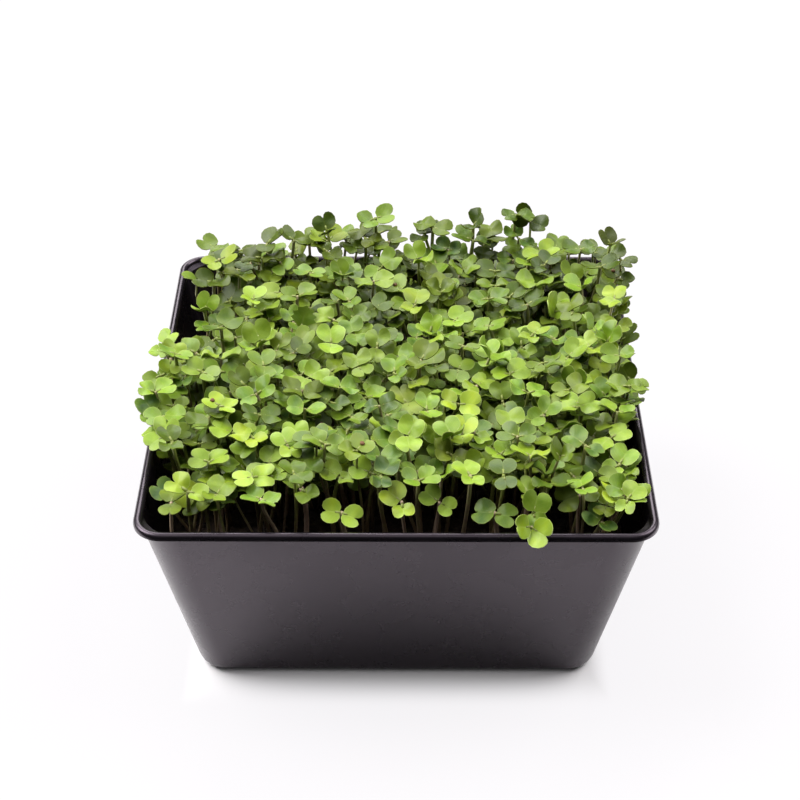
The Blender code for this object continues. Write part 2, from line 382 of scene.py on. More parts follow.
class SoilSettings(bpy.types.PropertyGroup):
    """The potting mix that fills the tray."""
    crumb_size: FloatProperty(
        name="Crumb size", description="Mean radius of a loose crumb", default=0.0011,
        unit="LENGTH", precision=4)
    crumbs: IntProperty(
        name="Crumbs", description="How many loose crumbs lie on top", default=420, min=0)
    relief: FloatProperty(
        name="Relief", description="How far the surface rises and falls", default=0.0016,
        unit="LENGTH", precision=4)
    peat: FloatVectorProperty(
        name="Peat", description="Colour of the moist potting mix", subtype="COLOR",
        default=(0.028, 0.018, 0.012))


class GreensSettings(bpy.types.PropertyGroup):
    """The seedlings: how many, how large, and their greens."""
    seed: IntProperty(
        name="Seed", description="Changes how the finer seedlings fall", default=7)
    fillers: IntProperty(
        name="Fillers", description="Seedlings added between those of the source", default=780)
    leaf_width: FloatProperty(
        name="Leaf width", description="Across one seed leaf", default=0.0085,
        unit="LENGTH", precision=4)
    leaf_length: FloatProperty(
        name="Leaf length", description="From the stalk to the lobes", default=0.0067,
        unit="LENGTH", precision=4)
    leaf_thickness: FloatProperty(
        name="Leaf thickness", description="Through one seed leaf", default=0.00036,
        unit="LENGTH", precision=5)
    stem_radius: FloatProperty(
        name="Stem radius", description="Half the thickness of a stem", default=0.00055,
        unit="LENGTH", precision=5)
    shaded_green: FloatVectorProperty(
        name="Shaded green", description="The bluest and darkest leaves", subtype="COLOR",
        default=(0.051, 0.117, 0.017))
    mid_green: FloatVectorProperty(
        name="Mid green", description="The common leaf colour", subtype="COLOR",
        default=(0.120, 0.214, 0.008))
    fresh_green: FloatVectorProperty(
        name="Fresh green", description="The lighter leaves", subtype="COLOR",
        default=(0.205, 0.305, 0.016))
    young_green: FloatVectorProperty(
        name="Young green", description="The yellowest leaves", subtype="COLOR",
        default=(0.250, 0.325, 0.008))
    stem_foot: FloatVectorProperty(
        name="Stem foot", description="The stems near the soil", subtype="COLOR",
        default=(0.150, 0.105, 0.050))
    stem_top: FloatVectorProperty(
        name="Stem top", description="The stems under the leaves", subtype="COLOR",
        default=(0.225, 0.270, 0.055))


class StudioSettings(bpy.types.PropertyGroup):
    """The floor, the lights and the camera."""
    floor_size: FloatProperty(
        name="Floor size", description="Across the pale floor", default=8.0, unit="LENGTH")
    floor_front: FloatProperty(
        name="Floor front", description="From the tray's middle to the floor's front edge",
        default=0.142, unit="LENGTH")
    floor: FloatVectorProperty(
        name="Floor", description="Colour of the floor", subtype="COLOR",
        default=(0.93, 0.92, 0.935))
    sky: FloatProperty(
        name="Surrounding light", description="Strength of the light from all round",
        default=0.03)
    left_light: FloatProperty(
        name="Left light", description="Strength of the wide light at the back left",
        default=4.1)
    right_light: FloatProperty(
        name="Right light", description="Strength of the wide light at the back right",
        default=2.35)
    back_light: FloatProperty(
        name="Back light", description="Strength of the wide light behind the tray",
        default=2.0)
    front_light: FloatProperty(
        name="Front light", description="Strength of the faint light above the front",
        default=0.52)
    lens: FloatProperty(
        name="Lens", description="Focal length", default=82.26, unit="CAMERA")
    camera_height: FloatProperty(
        name="Camera height", description="Height of the camera over the floor",
        default=0.4819, unit="LENGTH", precision=4)
    camera_distance: FloatProperty(
        name="Camera distance", description="From the tray's middle to under the camera",
        default=0.5595, unit="LENGTH", precision=4)
    camera_tilt: FloatProperty(
        name="Camera tilt", description="How far the camera looks up from straight down",
        default=math.radians(53.75), subtype="ANGLE")


# Helpers for pieces and materials

def begin(name, add, **sizes):
    """Add a primitive with nothing else selected, and open it in edit mode."""
    bpy.ops.object.select_all(action="DESELECT")
    add(**sizes)
    obj = bpy.context.object
    obj.name = name
    obj.data.name = name
    bpy.ops.object.mode_set(mode="EDIT")
    bpy.ops.mesh.select_all(action="SELECT")
    return obj


def end(obj, smooth_under=None):
    """Leave edit mode, put the object's place in its mesh and smooth its faces."""
    bpy.ops.object.mode_set(mode="OBJECT")
    bpy.ops.object.select_all(action="DESELECT")
    obj.select_set(True)
    bpy.context.view_layer.objects.active = obj
    bpy.ops.object.transform_apply(location=True, rotation=True, scale=True)
    if smooth_under is None:
        bpy.ops.object.shade_smooth()
    else:
        bpy.ops.object.shade_smooth_by_angle(angle=smooth_under)


def join(objects, name):
    """Join the objects into one piece, which takes the name."""
    bpy.ops.object.select_all(action="DESELECT")
    for obj in objects:
        obj.select_set(True)
    bpy.context.view_layer.objects.active = objects[0]
    if len(objects) > 1:
        bpy.ops.object.join()
    joined = bpy.context.view_layer.objects.active
    joined.name = name
    joined.data.name = name
    return joined


def stand_for(piece, node):
    """Attach the piece to the root body and hide the plain solid that it replaces."""
    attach(piece, "root")
    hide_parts(node)


def discard(objects):
    for obj in objects:
        bpy.data.meshes.remove(obj.data)


def copy_of_mesh(obj, name):
    """A copy of the object with a mesh of its own."""
    copy = bpy.data.objects.new(name, obj.data.copy())
    bpy.context.scene.collection.objects.link(copy)
    return copy


def get_points(mesh):
    flat = np.empty(len(mesh.vertices) * 3, np.float32)
    mesh.vertices.foreach_get("co", flat)
    return flat.reshape(-1, 3)


def set_points(mesh, points):
    mesh.vertices.foreach_set("co", np.asarray(points, np.float32).ravel())
    mesh.update()


def clipped(value, most=1.0):
    """The value, but not below nought or above the most."""
    return min(max(value, 0.0), most)


def opaque(colour, brightness=1.0):
    """A setting's colour as a socket takes it, brighter or darker if need be."""
    return (*(part * brightness for part in colour), 1.0)


def new_material(name, colour, roughness):
    material = bpy.data.materials.new(name)
    material.use_nodes = True
    material.diffuse_color = opaque(colour)
    tree = material.node_tree
    shader = tree.nodes["Principled BSDF"]
    shader.inputs["Base Color"].default_value = opaque(colour)
    shader.inputs["Roughness"].default_value = roughness
    return material, tree, shader


def add_node(tree, kind, values=None, **settings):
    """Add a shader node; a value that is a socket is linked, any other is set."""
    made = tree.nodes.new(kind)
    for setting, value in settings.items():
        setattr(made, setting, value)
    for socket, value in (values or {}).items():
        if isinstance(value, bpy.types.NodeSocket):
            tree.links.new(value, made.inputs[socket])
        else:
            made.inputs[socket].default_value = value
    return made


def object_place(tree):
    """The piece's own coordinates, which its pattern follows."""
    return add_node(tree, "ShaderNodeTexCoord").outputs["Object"]


def math_node(tree, operation, *values, clamp=False):
    made = add_node(tree, "ShaderNodeMath", dict(enumerate(values)), operation=operation,
                    use_clamp=clamp)
    return made.outputs[0]


def times(tree, first, second):
    return math_node(tree, "MULTIPLY", first, second)


def map_range(tree, value, low, high, to_low=0.0, to_high=1.0):
    made = add_node(tree, "ShaderNodeMapRange", {
        "Value": value, "From Min": low, "From Max": high, "To Min": to_low, "To Max": to_high},
        interpolation_type="SMOOTHSTEP")
    return made.outputs["Result"]


def mix_colours(tree, share, first, second, blend="MIX"):
    """Mix two colours, which are the node's sockets 6 and 7."""
    made = add_node(tree, "ShaderNodeMix", {0: share, 6: first, 7: second}, data_type="RGBA",
                    blend_type=blend)
    return made.outputs[2]


def noise_node(tree, vector, scale, detail=2.0, roughness=0.5):
    made = add_node(tree, "ShaderNodeTexNoise", {
        "Vector": vector, "Scale": scale, "Detail": detail, "Roughness": roughness})
    return made.outputs["Fac"]


def bump(tree, shader, height, strength, distance):
    made = add_node(tree, "ShaderNodeBump", {
        "Height": height, "Strength": strength, "Distance": distance})
    tree.links.new(made.outputs["Normal"], shader.inputs["Normal"])


# The tray

def wall_half(z):
    top_half = RIM_WIDTH / 2 - RIM_OVERHANG
    return BASE_WIDTH / 2 + (top_half - BASE_WIDTH / 2) * z / WALL_TOP


def wall_corner(z):
    return WALL_CORNER_BASE + (WALL_CORNER_TOP - WALL_CORNER_BASE) * z / WALL_TOP


def inside_section(z, inset=0.0):
    """The rounded square of the wall's inside at a height: half its side, corner, height."""
    inset += WALL
    return wall_half(z) - inset, wall_corner(z) - inset, z


def quarter_round(radius, steps):
    """Points of a quarter circle, as far in and far up from where it starts."""
    for step in range(steps + 1):
        angle = step / steps * math.pi / 2
        yield radius * (1 - math.cos(angle)), radius * math.sin(angle)


def tray_sections(round_steps, rim_round, rim_drop):
    """The tray's wall from the base up its outside, over the rim and down inside."""
    wall_top = TRAY_HEIGHT - rim_drop
    sections = []
    for rise, inward in quarter_round(BASE_FILLET, round_steps):
        inset = BASE_FILLET - inward
        sections.append((wall_half(rise) - inset, wall_corner(rise) - inset, rise))
    sections.append((wall_half(wall_top), wall_corner(wall_top), wall_top))
    sections.append((RIM_WIDTH / 2, RIM_CORNER, wall_top))
    arc = list(quarter_round(rim_round, round_steps))
    far_arc = [(RIM_BAND - sideways, up) for sideways, up in reversed(arc)]
    for inset, up in arc + far_arc:
        z = TRAY_HEIGHT - rim_round + up
        sections.append((RIM_WIDTH / 2 - inset, RIM_CORNER - inset, z))
    sections.append(inside_section(wall_top))
    sections.append(inside_section(FLOOR + FLOOR_FILLET))
    sections.append(inside_section(FLOOR, FLOOR_FILLET))
    return sections


def reshape_ring(obj, old, new):
    """Move the selected ring from one rounded square, (half, corner, z), to another."""
    old_half, old_corner, old_z = old
    new_half, new_corner, new_z = new
    bm = bmesh.from_edit_mesh(obj.data)
    for vert in bm.verts:
        if not vert.select:
            continue
        for axis in (0, 1):
            side = math.copysign(1, vert.co[axis])
            reach = (abs(vert.co[axis]) - (old_half - old_corner)) / old_corner
            vert.co[axis] = side * (new_half - new_corner + max(reach, 0.0) * new_corner)
        vert.co.z = new_z
    bmesh.update_edit_mesh(obj.data)


def plastic_material(settings):
    """Satin black plastic with faint mottling and a fine grain."""
    material, tree, shader = new_material(
        "black_plastic", settings.plastic, settings.roughness)
    place = object_place(tree)
    mottle = noise_node(tree, place, scale=55.0, detail=4.0, roughness=0.6)
    grain = noise_node(tree, place, scale=1400.0)
    darker, lighter = (opaque(settings.plastic, share) for share in PLASTIC_MOTTLE)
    colour = mix_colours(tree, mottle, darker, lighter)
    tree.links.new(colour, shader.inputs["Base Color"])
    shine = (settings.roughness + change for change in PLASTIC_SHINE)
    spread = map_range(tree, mottle, *NOISE_RANGE, *shine)
    tree.links.new(spread, shader.inputs["Roughness"])
    bump(tree, shader, grain, strength=0.10, distance=0.0002)
    shader.inputs["Specular IOR Level"].default_value = 0.56
    shader.inputs["Specular Tint"].default_value = PLASTIC_TINT
    return material


def make_tray(settings):
    """Draw a rounded square up the outside of the wall, over the rim and down inside."""
    sections = tray_sections(BEAD_STEPS, RIM_BAND / 2, settings.rim_drop)
    half, corner, base = sections[0]
    obj = begin("moulded_tray", bpy.ops.mesh.primitive_plane_add, size=2 * half)
    bpy.ops.mesh.bevel(
        affect="VERTICES", offset=corner, segments=settings.corner_segments, profile=0.5)
    for old, new in zip(sections, sections[1:]):
        bpy.ops.mesh.extrude_region_move()
        reshape_ring(obj, old, new)
    bpy.ops.mesh.select_all(action="SELECT")
    bpy.ops.mesh.normals_make_consistent(inside=False)
    end(obj, TRAY_EDGE_ANGLE)
    obj.data.materials.append(plastic_material(settings))
    stand_for(obj, "tray")


# The potting mix

def soil_material(settings):
    """Dark moist peat with paler fibres and flecks."""
    material, tree, shader = new_material("potting_mix", settings.peat, roughness=0.92)
    place = object_place(tree)
    clods = noise_node(tree, place, scale=420.0, detail=4.0, roughness=0.7)
    flecks = noise_node(tree, place, scale=1500.0, detail=1.0)
    colour = mix_colours(tree, map_range(tree, clods, *CLOD_EDGE), opaque(settings.peat),
                         opaque(settings.peat, PALE_PEAT))
    colour = mix_colours(tree, map_range(tree, flecks, *CHAFF_EDGE), colour, CHAFF)
    tree.links.new(colour, shader.inputs["Base Color"])
    bump(tree, shader, clods, strength=0.8, distance=0.0008)
    return material


def lie_of_soil(x, y, relief):
    """How far the potting mix stands above its mean level at a place."""
    lumps = noise.noise(Vector((x, y, LUMPS_SLICE)) * LUMPS_A_METRE)
    crumbs = noise.noise(Vector((x, y, CRUMBS_SLICE)) * CRUMBS_A_METRE)
    return relief * (lumps + CRUMB_RELIEF * crumbs) - RELIEF_SINK * relief


def scatter_crumbs(crumb, settings):
    """Uneven copies of the crumb, scattered over the potting mix up to its corners."""
    chance = random.Random(CRUMB_SEED)
    half, corner, top = inside_section(SOIL_TOP, GAP)
    spread = half - CRUMBS_TO_WALL
    lying = []
    for count in range(settings.crumbs):
        x = chance.uniform(-spread, spread)
        y = chance.uniform(-spread, spread)
        if abs(x) + abs(y) > 2 * spread - corner:
            continue
        copy = copy_of_mesh(crumb, "crumb")
        points = get_points(copy.data)
        rough = np.array([chance.uniform(*CRUMB_STRETCH) for part in points.ravel()])
        points = points * rough.reshape(points.shape) * chance.uniform(*CRUMB_SIZES)
        points += (x, y, top + lie_of_soil(x, y, settings.relief))
        set_points(copy.data, points)
        lying.append(copy)
    return lying


def make_soil(settings):
    """Round a grid's corners to fit the tray, draw its edge down and scatter the crumbs."""
    top_half, top_corner, top = inside_section(SOIL_TOP, GAP)
    obj = begin(
        "potting_mix", bpy.ops.mesh.primitive_grid_add, x_subdivisions=SOIL_GRID,
        y_subdivisions=SOIL_GRID, size=2 * top_half)
    bm = bmesh.from_edit_mesh(obj.data)
    bend = top_half - top_corner
    for vert in bm.verts:
        over = [max(abs(vert.co[axis]) - bend, 0.0) for axis in (0, 1)]
        if min(over) > 0:
            pull = max(over) / math.hypot(*over)
            for axis in (0, 1):
                vert.co[axis] = math.copysign(bend + over[axis] * pull, vert.co[axis])
        vert.co.z = top + lie_of_soil(vert.co.x, vert.co.y, settings.relief)
    bmesh.update_edit_mesh(obj.data)
    bpy.ops.mesh.select_all(action="DESELECT")
    bpy.ops.mesh.select_non_manifold()
    for z, inset in ((FLOOR + FLOOR_FILLET, 0.0), (FLOOR + GAP, FLOOR_FILLET)):
        half, corner, z = inside_section(z, inset + GAP)
        bpy.ops.mesh.extrude_region_move()
        bm = bmesh.from_edit_mesh(obj.data)
        for vert in bm.verts:
            if vert.select:
                vert.co.xy *= half / top_half
                vert.co.z = z
        bmesh.update_edit_mesh(obj.data)
        top_half = half
    bpy.ops.mesh.edge_face_add()
    bpy.ops.mesh.select_all(action="SELECT")
    bpy.ops.mesh.normals_make_consistent(inside=False)
    end(obj)
    material = soil_material(settings)
    obj.data.materials.append(material)
    crumb = begin(
        "crumb", bpy.ops.mesh.primitive_ico_sphere_add, subdivisions=1,
        radius=settings.crumb_size)
    end(crumb)
    crumb.data.materials.append(material)
    crumbs = scatter_crumbs(crumb, settings)
    obj = join([obj] + crumbs, "potting_mix")
    discard([crumb])
    stand_for(obj, "soil")


# Where the source's seedlings stand: the same seeded draws as in its own file

def ring(bm, half, corner, z):
    middle = Vector((half - corner, half - corner, z))
    verts = []
    for quarter in range(4):
        turn = Matrix.Rotation(quarter * math.pi / 2, 3, "Z")
        for step in range(CORNER_STEPS + 1):
            angle = step / CORNER_STEPS * math.pi / 2
            point = middle + Vector((math.cos(angle), math.sin(angle), 0)) * corner
            verts.append(bm.verts.new(turn @ point))
    return [bm.edges.new((a, b)) for a, b in zip(verts, verts[1:] + verts[:1])]


def loft(sections):
    """The source's tray, as the solid that its leaves and stems are kept clear of."""
    bm = bmesh.new()
    rings = [ring(bm, *section) for section in sections]
    for lower, upper in zip(rings, rings[1:]):
        bmesh.ops.bridge_loops(bm, edges=lower + upper)
    bmesh.ops.contextual_create(bm, geom=rings[0])
    bmesh.ops.contextual_create(bm, geom=rings[-1])
    bmesh.ops.recalc_face_normals(bm, faces=bm.faces)
    return bm


def clumps():
    """Column, row and middle of each clump of roots, from the front left."""
    offset = (CLUMPS_A_SIDE - 1) / 2
    found = []
    for row in range(CLUMPS_A_SIDE):
        for column in range(CLUMPS_A_SIDE):
            middle = Vector((column - offset, row - offset, 0)) * CLUMP_PITCH
            middle.z = SOIL_TOP
            found.append((column, row, middle))
    return found


def stem_solid(plan, grow=0.0):
    radius = STEM_RADIUS + grow
    bm = bmesh.new()
    bmesh.ops.create_cone(
        bm, cap_ends=True, segments=STEM_SIDES, radius1=radius, radius2=radius,
        depth=BLADE_THICKNESS)
    joint = plan["place"] @ Matrix.Translation((0, 0, -BLADE_THICKNESS))
    root = Matrix.Translation(plan["foot"]) @ Matrix.Rotation(plan["turn"], 4, "Z")
    for vert in bm.verts:
        end_place = joint if vert.co.z > 0 else root
        vert.co = end_place @ vert.co
    return bm


def blade_outline(side, size, fold, lift):
    right = [(reach, -half) for reach, half in (NECK, LOBE, TIP)]
    left = [(reach, half) for reach, half in (TIP, LOBE, NECK)]
    points = []
    for reach, half in [(NOTCH_REACH, 0.0)] + right + left:
        past_neck = max(reach - NECK[0], 0.0)
        off_rib = max(abs(half) - NECK[1], 0.0)
        rise = lift * past_neck + fold * off_rib
        points.append(Vector((side * reach, side * half, rise)) * size)
    return points


def leaf_pair(plan, grow=0.0):
    """The source's pair of joined blades, grown all round by a clearance."""
    size = plan["size"] * (1 + grow / LOBE[1])
    bm = bmesh.new()
    necks = []
    for side, lift in zip((1, -1), plan["lifts"]):
        outline = blade_outline(side, size, plan["fold"], lift)
        notch, *edge = [bm.verts.new(point) for point in outline]
        for half in (edge[:3], edge[3:]):
            for here, there in zip(half, half[1:]):
                bm.faces.new((notch, here, there))
        bm.faces.new((notch, edge[-1], edge[0]))
        necks += [edge[0], edge[-1]]
    bm.faces.new(necks[:3])
    bm.faces.new((necks[0], necks[2], necks[3]))
    bm.normal_update()
    bmesh.ops.solidify(bm, geom=bm.faces[:], thickness=BLADE_THICKNESS + 2 * grow)
    raised = plan["place"] @ Matrix.Translation((0, 0, grow))
    bmesh.ops.transform(bm, matrix=raised, verts=bm.verts)
    return bm


def canopy_height(y):
    """The level of the leaves' tops: it falls toward the front and rises to the back."""
    share = y / (CLUMPS_A_SIDE / 2 * CELL_DEPTH)
    if share < 0:
        return CANOPY_HEIGHT - DROP_AT_FRONT * share * share
    return CANOPY_HEIGHT + RISE_AT_BACK * share


def cell_middle(column, row):
    offset = (CLUMPS_A_SIDE - 1) / 2
    x = (column - offset) * CELL_WIDTH
    y = (row - offset) * CELL_DEPTH + CANOPY_MIDDLE_Y
    if column == 0 and row > offset:
        x += BACK_LEFT_SHIFT
    return Vector((x, y, 0))


def nearest_clump(stand, x, y):
    here = Vector((x, y, 0))
    return min(stand, key=lambda clump: (cell_middle(*clump[:2]) - here).length)


def draw_plan(chance, clump, top, turn, lean, most_tilt):
    """Draw a seedling: its foot, the place of its pair of leaves and the leaves' shape."""
    column, row, middle = clump
    outward = Vector((top.x - middle.x, top.y - middle.y, 0))
    foot = middle + outward * (STEM_FOOT / max(outward.length, STEM_FOOT))
    foot.z -= STEM_SINK
    way = chance.uniform(0, 2 * math.pi)
    tilt_axis = Vector((math.cos(way), math.sin(way), 0))
    place = Matrix.Translation(top) @ Matrix.Rotation(lean, 4, "X")
    place = place @ Matrix.Rotation(chance.uniform(0, most_tilt), 4, tilt_axis)
    place = place @ Matrix.Rotation(turn, 4, "Z")
    return {
        "clump": clump,
        "foot": foot,
        "top": top,
        "turn": turn,
        "place": place,
        "size": chance.uniform(*SIZES),
        "fold": chance.uniform(*FOLDS),
        "lifts": (chance.uniform(*LIFTS), chance.uniform(*LIFTS)),
    }


def draw_in_cell(chance, clump, spot, level):
    column, row, middle = clump
    across, along = spot
    top = cell_middle(column, row)
    top.x += across * CELL_WIDTH + chance.uniform(-PLACE_JITTER, PLACE_JITTER)
    top.y += along * CELL_DEPTH + chance.uniform(-PLACE_JITTER, PLACE_JITTER)
    top.z = canopy_height(top.y) + level * LAYER_STEP
    top.z += chance.uniform(-LAYER_JITTER, LAYER_JITTER)
    return draw_plan(chance, clump, top, chance.uniform(0, math.pi), FRONT_LEAN, MOST_TILT)


def search_trees(plan, grow=0.0):
    trees = []
    for solid in (leaf_pair(plan, grow), stem_solid(plan, grow)):
        trees.append(BVHTree.FromBMesh(solid))
        solid.free()
    return trees


def meet(some, others):
    return any(mine.overlap(other) for mine in some for other in others)


def is_clear(plan, placed, tray_tree, mind_own_clump):
    """Whether the source's seedling misses the tray and those placed before it."""
    guard = search_trees(plan, CLEARANCE)
    if meet(guard, [tray_tree]):
        return False
    for other in placed:
        if (other["top"] - plan["top"]).length > LONGEST_REACH:
            continue
        if other["clump"] == plan["clump"] and not mind_own_clump:
            continue
        if meet(guard, other["trees"]):
            return False
    return True


def settle(placed, tray_tree, draw):
    """Place the first draw that is clear; the later tries may meet their own clump."""
    for attempt in range(TRIES):
        plan = draw()
        if is_clear(plan, placed, tray_tree, attempt < CAREFUL_TRIES):
            plan["trees"] = search_trees(plan)
            placed.append(plan)
            return


def plan_source_seedlings(tray_tree):
    """The strays, and then the canopy from its top layer down, cell by cell."""
    chance = random.Random(SEED)
    stand = clumps()
    placed = []
    for x, y, z, turn, lean in STRAYS:
        top = Vector((x, y, z))
        nearest = nearest_clump(stand, x, y)
        settle(placed, tray_tree, lambda: draw_plan(
            chance, nearest, top, math.radians(turn), math.radians(lean), STRAY_TILT))
    orders = [chance.sample(PLACES_IN_CELL, len(PLACES_IN_CELL)) for clump in stand]
    for layer in range(len(PLACES_IN_CELL)):
        level = (len(PLACES_IN_CELL) - 1) / 2 - layer
        for clump, order in zip(stand, orders):
            settle(placed, tray_tree, lambda: draw_in_cell(chance, clump, order[layer], level))
    return placed


# The finer seedlings

def model_blade(name, outline, settings):
    """Model one flat blade from a round face, with a ring inside its edge."""
    count = 2 * (len(outline) - 1)
    obj = begin(name, bpy.ops.mesh.primitive_circle_add, vertices=count, radius=1.0,
                fill_type="NGON")
    bpy.ops.mesh.inset(thickness=INNER_RING)
    bpy.ops.mesh.poke()
    bpy.ops.object.mode_set(mode="OBJECT")
    mesh = obj.data
    step = 2 * math.pi / count
    tint = mesh.attributes.new("tint", "FLOAT_COLOR", "POINT")
    for vert in mesh.vertices:
        reach = min(vert.co.xy.length, 1.0)
        index = round(math.atan2(abs(vert.co.x), vert.co.y) / step)
        along, across = outline[index]
        side = math.copysign(1.0, vert.co.x)
        u = BLADE_HEART_ALONG + (along - BLADE_HEART_ALONG) * reach
        v = side * across * reach
        tint.data[vert.index].color = (*PLAIN_TINT, reach)
        vert.co = (u, v, 0.0)
    chart = mesh.uv_layers.active or mesh.uv_layers.new(name="UVMap")
    for loop in mesh.loops:
        chart.data[loop.index].uv = mesh.vertices[loop.vertex_index].co.xy
    lengthwise = (settings.leaf_length, settings.leaf_width, 1.0)
    for vert in mesh.vertices:
        vert.co = [part * scale for part, scale in zip(vert.co, lengthwise)]
    bpy.ops.object.mode_set(mode="EDIT")
    bpy.ops.mesh.select_all(action="SELECT")
    bpy.ops.mesh.normals_make_consistent(inside=False)
    end(obj)
    if mesh.polygons[0].normal.z < 0:
        mesh.flip_normals()
    return obj


def give_thickness(blade, name, settings):
    """A copy of the flat blade with its real thickness below its upper face."""
    solid = copy_of_mesh(blade, name)
    modifier = solid.modifiers.new("Thickness", "SOLIDIFY")
    modifier.thickness = settings.leaf_thickness
    modifier.offset = -1.0
    bpy.context.view_layer.objects.active = solid
    bpy.ops.object.modifier_apply(modifier=modifier.name)
    bpy.ops.object.select_all(action="DESELECT")
    solid.select_set(True)
    bpy.ops.object.shade_smooth_by_angle(angle=BLADE_EDGE_ANGLE)
    return solid


def model_tube(name, sides, stacks, ripeness):
    """Model a straight tube of radius and length one, drawn up ring by ring."""
    obj = begin(name, bpy.ops.mesh.primitive_circle_add, vertices=sides, radius=1.0,
                fill_type="NGON")
    for stack in range(stacks):
        bpy.ops.mesh.extrude_region_move(
            TRANSFORM_OT_translate={"value": (0, 0, 1 / stacks)})
    bpy.ops.mesh.select_all(action="SELECT")
    bpy.ops.mesh.normals_make_consistent(inside=False)
    end(obj)
    mesh = obj.data
    tint = mesh.attributes.new("tint", "FLOAT_COLOR", "POINT")
    for vert in mesh.vertices:
        share = clipped(vert.co.z)
        tint.data[vert.index].color = (*PLAIN_TINT, ripeness + (1 - ripeness) * share)
    return obj


def bezier(points, share):
    a, b, c, d = points
    rest = 1 - share
    return (a * rest ** 3 + b * (3 * rest ** 2 * share)
            + c * (3 * rest * share ** 2) + d * share ** 3)


def follow(tube_points, path, radii):
    """Bend a straight tube of length one along a Bezier path, from one radius to another."""
    bent = np.empty_like(tube_points)
    for index, (x, y, z) in enumerate(tube_points):
        share = clipped(float(z))
        here = bezier(path, share)
        ahead = bezier(path, min(share + PATH_STEP, 1.0)) - bezier(path, max(share - PATH_STEP, 0.0))
        ahead.normalize()
        side = ahead.cross(PATH_SIDE).normalized()
        other = ahead.cross(side)
        radius = radii[0] + (radii[1] - radii[0]) * share
        bent[index] = here + (side * float(x) + other * float(y)) * radius
    return bent


def draw_blade(chance, width_share, lift, fold):
    """One blade's own shape and turn on its stalk."""
    return {
        "outline": chance.choice(SEED_LEAVES),
        "scale": width_share,
        "lift": lift,
        "fold": fold,
        "yaw": chance.uniform(*BLADE_YAWS),
        "roll": chance.uniform(*BLADE_ROLLS),
        "curl": chance.uniform(*BLADE_CURLS),
        "ripple": chance.uniform(*BLADE_RIPPLES),
        "phase": chance.uniform(0, 2 * math.pi),
        "petiole": chance.uniform(*PETIOLE_LENGTHS),
        "tint": chance.gauss(*BLADE_TINTS),
    }


def dress_plan(chance, plan, toothed_share=0.0):
    """Add what the finer seedling needs: two blades, their colour and the stem's sway."""
    hue = clipped(chance.gauss(*HUES))
    closed = chance.random() < CLOSED_SHARE
    blades = []
    for sizes, lift in zip((FIRST_BLADES, SECOND_BLADES), plan["lifts"]):
        share = plan["size"] * chance.uniform(*sizes)
        if closed:
            lift += chance.uniform(*CLOSED_LIFTS)
        fold = plan["fold"] + chance.uniform(*EXTRA_FOLDS)
        blades.append(draw_blade(chance, share, lift, fold))
    if chance.random() < toothed_share:
        for blade in blades:
            blade["outline"] = "toothed"
            blade["scale"] *= TOOTHED_GROWTH
            blade["lift"] += TOOTHED_LIFT
        hue = TOOTHED_HUE
    plan["blades"] = blades
    plan["hue"] = hue
    top = plan["top"]
    # Painted shade: each leaf's shade value is a random spread of lighter and darker leaves, lowered
    # toward the back and below the canopy's top
    toward_back = clipped((top.y - BACK_SHADING_FROM) / BACK_SHADING_OVER)
    below = clipped((canopy_height(top.y) - top.z) / SHADED_DEPTH)
    plan["shade"] = chance.uniform(*SHADES) - BACK_SHADING * toward_back - DEPTH_SHADING * below
    plan["blush"] = clipped(chance.gauss(*BLUSHES), MOST_BLUSH)
    way = chance.uniform(0, 2 * math.pi)
    plan["sway"] = Vector((math.cos(way), math.sin(way), 0)) * chance.uniform(0, STEM_SWAY)
    plan["girth"] = chance.uniform(*STEM_GIRTHS)
    plan["pallor"] = clipped(chance.gauss(*PALLORS))
    plan["coated"] = chance.random() < COATED_SHARE


def blade_place(plan, number):
    blade = plan["blades"][number]
    yaw = blade["yaw"] + (math.pi if number else 0.0)
    stalk = Matrix.Rotation(yaw, 4, "Z") @ Matrix.Rotation(-blade["lift"] * LIFT_AT_STALK, 4, "Y")
    base = stalk @ Matrix.Translation((blade["petiole"], 0, 0))
    return plan["place"] @ base @ Matrix.Rotation(blade["roll"], 4, "X")


def bend_blade(points, blade, settings):
    """Fold, curl and ripple a flat blade's points, in its own directions."""
    width = settings.leaf_width
    length = settings.leaf_length
    along, across, rise = points.T.astype(float)
    u = along / length
    v = across / width
    rounding = FOLD_ROUNDING * width
    z = rise.copy()
    z += blade["fold"] * (np.sqrt(across ** 2 + rounding ** 2) - rounding)
    z += blade["curl"] * length * (u * u - CURL_START * u) * 0.5
    turned = np.arctan2(v, u - BLADE_HEART_ALONG)
    edge = np.clip((u - BLADE_HEART_ALONG) ** 2 + v * v, 0, RIPPLE_LIMIT) / RIPPLE_REACH
    z += blade["ripple"] * width * edge * np.sin(RIPPLES_ROUND * turned + blade["phase"])
    return np.column_stack((along, across, z)) * blade["scale"]


def placed_points(points, place):
    """The points carried to their place by its matrix."""
    matrix = np.array(place)
    return points @ matrix[:3, :3].T + matrix[:3, 3]


def stem_path(plan):
    """The four points of the stem's curve, which ends square to the pair of leaves."""
    foot = plan["foot"]
    top = plan["top"]
    rise = top.z - foot.z
    axis = plan["place"].to_3x3() @ Vector((0, 0, 1))
    low = foot + Vector((0, 0, STEM_WAIST * rise)) + plan["sway"]
    high = top - axis * (STEM_NECK * rise)
    return foot, low, high, top


def blade_tree(plan, flats, settings):
    """The pair's upper faces as one search tree."""
    corners = []
    faces = []
    for number, blade in enumerate(plan["blades"]):
        points, polygons = flats[blade["outline"]]
        bent = placed_points(bend_blade(points, blade, settings), blade_place(plan, number))
        first = len(corners)
        corners += [tuple(point) for point in bent]
        faces += [tuple(first + index for index in polygon) for polygon in polygons]
    return BVHTree.FromPolygons(corners, faces)


